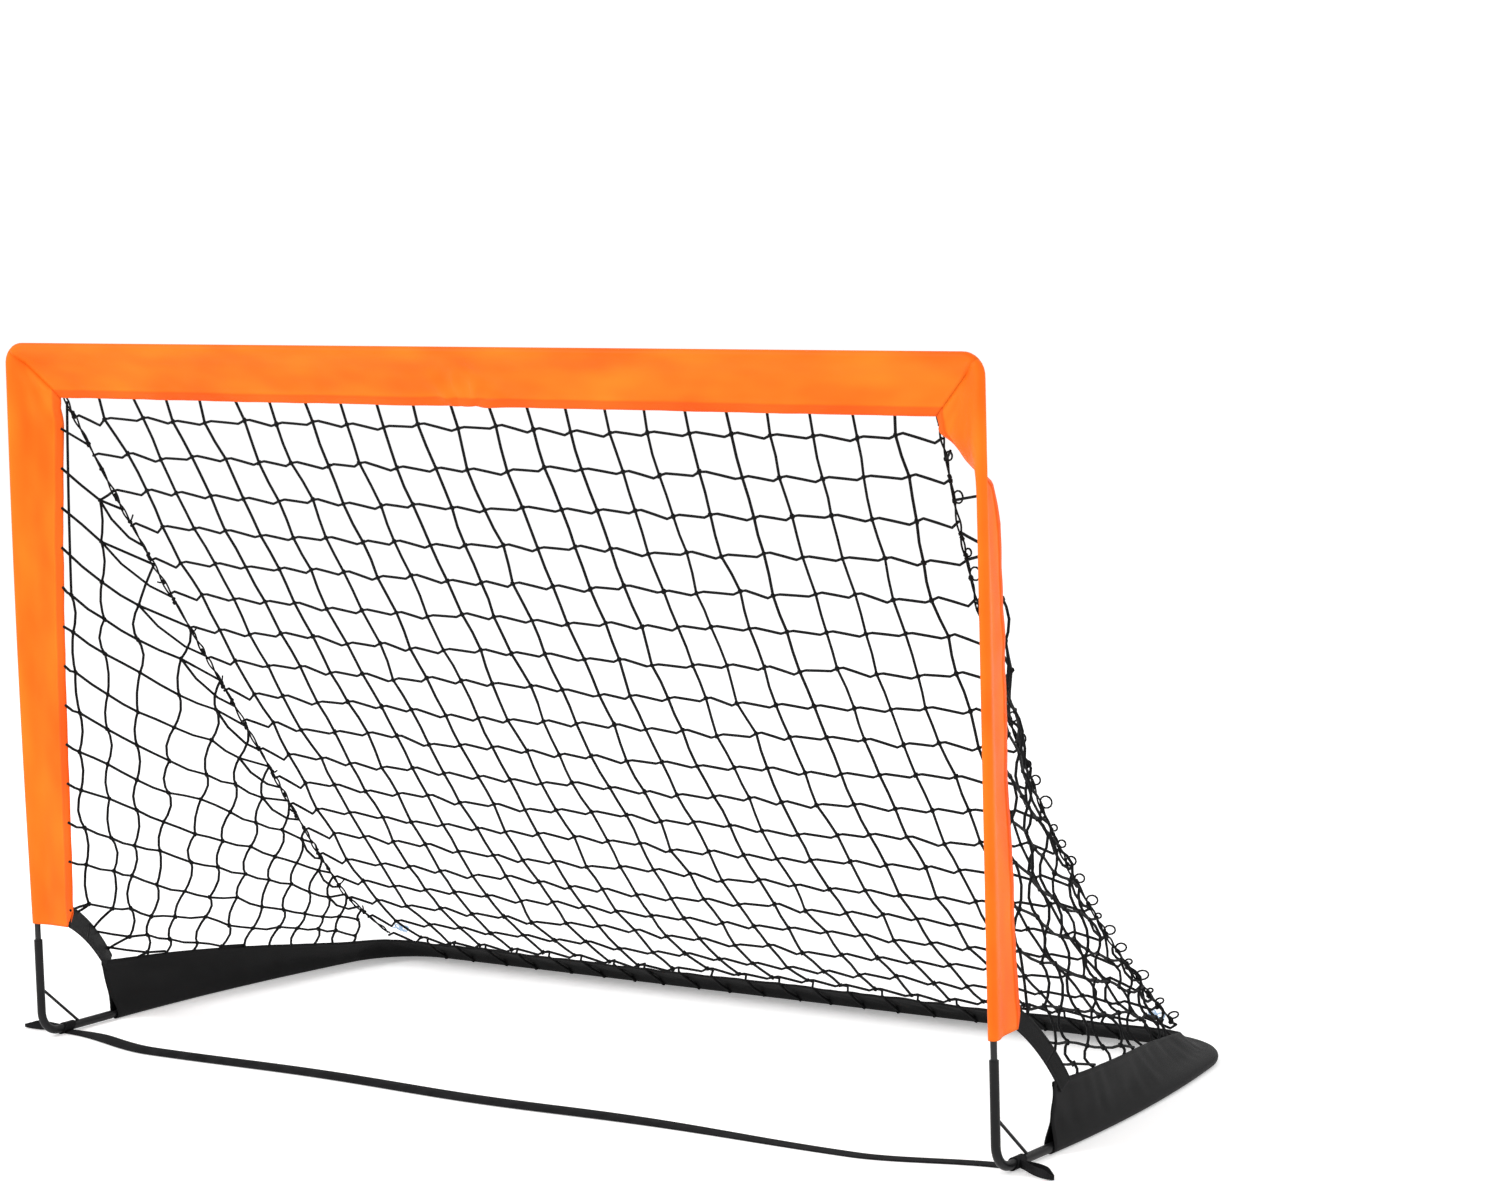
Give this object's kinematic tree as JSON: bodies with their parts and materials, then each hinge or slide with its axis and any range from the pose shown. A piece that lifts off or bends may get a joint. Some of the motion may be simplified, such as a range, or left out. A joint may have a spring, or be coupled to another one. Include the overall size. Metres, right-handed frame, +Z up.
{
  "type": "portable soccer goal frame",
  "caption": "Portable soccer goal: sleeved pole arch and U-shaped base plugged into steel foot elbows, with a net behind and a ground strap.",
  "frame": {"origin": "on the ground, in the middle of the goal's footprint", "axes": "+X across the mouth to the right seen from in front, +Y from the mouth to the back, +Z up"},
  "size_m": [1.646, 0.694, 0.945],
  "materials": {
    "black_steel": "satin black powder coat",
    "webbing": "woven polypropylene",
    "fibreglass": "pultruded rod, satin",
    "bent_tube": "zinc plated",
    "ferrule": "satin",
    "shock_cord": "braided",
    "black_fabric": "woven polyester",
    "orange_fabric": "woven polyester",
    "net_cord": "knotted twine",
    "lacing_cord": "twisted cord",
    "tie_cord": "thin cord"
  },
  "bodies": {
    "feet": {"foot_elbow_left": "black_steel", "foot_elbow_right": "black_steel", "brace_rod_left": "black_steel", "brace_rod_right": "black_steel", "ground_strap": "webbing", "strap_turn_left": "webbing", "strap_turn_right": "webbing", "peg_loop_left": "webbing", "peg_loop_right": "webbing", "skirt_riser_left": "black_fabric", "skirt_riser_right": "black_fabric", "net_left": "net_cord", "net_right": "net_cord", "net_rear": "net_cord", "lacing_left": "lacing_cord", "lacing_right": "lacing_cord"},
    "base": {"side_pole_left": "fibreglass", "side_pole_right": "fibreglass", "rear_corner_left": "bent_tube", "rear_corner_right": "bent_tube", "rear_pole_left": "fibreglass", "rear_pole_right": "fibreglass", "rear_ferrule": "ferrule", "base_shock_cord": "shock_cord", "base_tunnel_left": "black_fabric", "base_tunnel_right": "black_fabric", "corner_tunnel_left": "black_fabric", "corner_tunnel_right": "black_fabric", "base_tunnel_rear": "black_fabric", "skirt_left": "black_fabric", "skirt_right": "black_fabric", "skirt_rear": "black_fabric", "corner_tie_left": "tie_cord", "corner_tie_right": "tie_cord"},
    "arch": {"upright_lower_left": "fibreglass", "upright_lower_right": "fibreglass", "upright_upper_left": "fibreglass", "upright_upper_right": "fibreglass", "upright_ferrule_left": "ferrule", "upright_ferrule_right": "ferrule", "top_corner_left": "bent_tube", "top_corner_right": "bent_tube", "crossbar_left": "fibreglass", "crossbar_mid": "fibreglass", "crossbar_right": "fibreglass", "crossbar_ferrule_left": "ferrule", "crossbar_ferrule_right": "ferrule", "arch_shock_cord": "shock_cord", "sleeve_left": "orange_fabric", "sleeve_right": "orange_fabric", "sleeve_top": "orange_fabric"}
  },
  "joints": [
    {"name": "base_pull", "type": "slide", "parent": "feet", "child": "base", "axis": [0, 1, 0], "range_m": [0, 0.055]},
    {"name": "arch_lift", "type": "slide", "parent": "feet", "child": "arch", "axis": [0, 0, 1], "range_m": [0, 0.055]}
  ]
}
